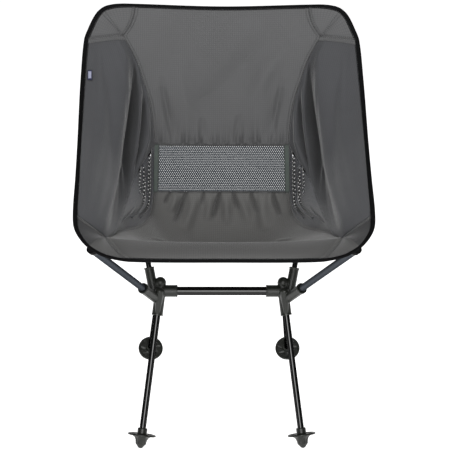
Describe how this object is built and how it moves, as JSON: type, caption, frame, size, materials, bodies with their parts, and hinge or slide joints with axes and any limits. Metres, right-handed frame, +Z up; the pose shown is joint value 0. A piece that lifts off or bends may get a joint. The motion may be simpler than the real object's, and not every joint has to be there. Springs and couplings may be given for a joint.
{
  "type": "ultralight backpacking chair",
  "caption": "Low folding pole-frame chair: aluminium poles plug into plastic hubs and stretch a sewn fabric sling seat with a mesh lumbar strip; disc feet for soft ground.",
  "frame": {"origin": "on the ground, under the centre of the bounding box", "axes": "+Z up, +X to the right as seen from in front of the chair, +Y towards the chair's back; the sitter faces -Y"},
  "size_m": [0.4832, 0.5053, 0.7181],
  "materials": {
    "gloss_black_tube": "gloss black anodised tube",
    "satin_grey_tube": "satin grey anodised tube",
    "bare_aluminium": "bare drawn tube",
    "olive_plastic": "moulded nylon, fine matte texture",
    "elastic_cord": "braided elastic cord",
    "grey_ripstop": "ripstop weave, slight sheen",
    "grey_mesh": "open warp-knit mesh",
    "black_webbing": "black ribbed binding tape",
    "tag_cloth": "blank folded woven tag"
  },
  "bodies": {
    "frame": {"crossbar": "gloss_black_tube", "back_pole_lower_left": "gloss_black_tube", "back_pole_upper_left": "gloss_black_tube", "back_pole_lower_right": "gloss_black_tube", "back_pole_upper_right": "gloss_black_tube", "seat_pole_left": "satin_grey_tube", "seat_pole_right": "satin_grey_tube", "back_pole_ferrule_left": "bare_aluminium", "back_pole_ferrule_right": "bare_aluminium", "hub_left": "olive_plastic", "pole_tip_front_left": "olive_plastic", "pole_tip_back_left": "olive_plastic", "hub_right": "olive_plastic", "pole_tip_front_right": "olive_plastic", "pole_tip_back_right": "olive_plastic", "shock_cord_front_leg_left": "elastic_cord", "shock_cord_rear_leg_left": "elastic_cord", "shock_cord_seat_pole_left": "elastic_cord", "shock_cord_back_pole_left": "elastic_cord", "shock_cord_front_leg_right": "elastic_cord", "shock_cord_rear_leg_right": "elastic_cord", "shock_cord_seat_pole_right": "elastic_cord", "shock_cord_back_pole_right": "elastic_cord", "shock_cord_crossbar": "elastic_cord", "side_panel_left": "grey_ripstop", "corner_patch_front_left": "grey_ripstop", "corner_patch_back_left": "grey_ripstop", "side_panel_right": "grey_ripstop", "corner_patch_front_right": "grey_ripstop", "corner_patch_back_right": "grey_ripstop", "back_panel": "grey_ripstop", "seat_panel": "grey_ripstop", "side_mesh_left": "grey_mesh", "side_mesh_right": "grey_mesh", "lumbar_mesh": "grey_mesh", "corner_pocket_front_left": "black_webbing", "corner_pocket_back_left": "black_webbing", "binding_side_left": "black_webbing", "corner_pocket_front_right": "black_webbing", "corner_pocket_back_right": "black_webbing", "binding_side_right": "black_webbing", "binding_top": "black_webbing", "binding_bottom": "black_webbing", "label_tag": "tag_cloth"},
    "front_leg_left": {"front_leg_left": "gloss_black_tube", "foot_front_left": "olive_plastic"},
    "front_leg_right": {"front_leg_right": "gloss_black_tube", "foot_front_right": "olive_plastic"},
    "rear_leg_left": {"rear_leg_left": "gloss_black_tube", "foot_rear_left": "olive_plastic"},
    "rear_leg_right": {"rear_leg_right": "gloss_black_tube", "foot_rear_right": "olive_plastic"}
  },
  "joints": [
    {"name": "front_leg_left_pull", "type": "slide", "parent": "frame", "child": "front_leg_left", "axis": [-0.1232, -0.4122, -0.9027], "range_m": [0, 0.05], "stiffness_N_per_m": 150, "springref_m": -0.03},
    {"name": "front_leg_right_pull", "type": "slide", "parent": "frame", "child": "front_leg_right", "axis": [0.1232, -0.4122, -0.9027], "range_m": [0, 0.05], "stiffness_N_per_m": 150, "springref_m": -0.03},
    {"name": "rear_leg_left_pull", "type": "slide", "parent": "frame", "child": "rear_leg_left", "axis": [-0.0845, 0.7177, -0.6912], "range_m": [0, 0.05], "stiffness_N_per_m": 150, "springref_m": -0.03},
    {"name": "rear_leg_right_pull", "type": "slide", "parent": "frame", "child": "rear_leg_right", "axis": [0.0845, 0.7177, -0.6912], "range_m": [0, 0.05], "stiffness_N_per_m": 150, "springref_m": -0.03}
  ]
}
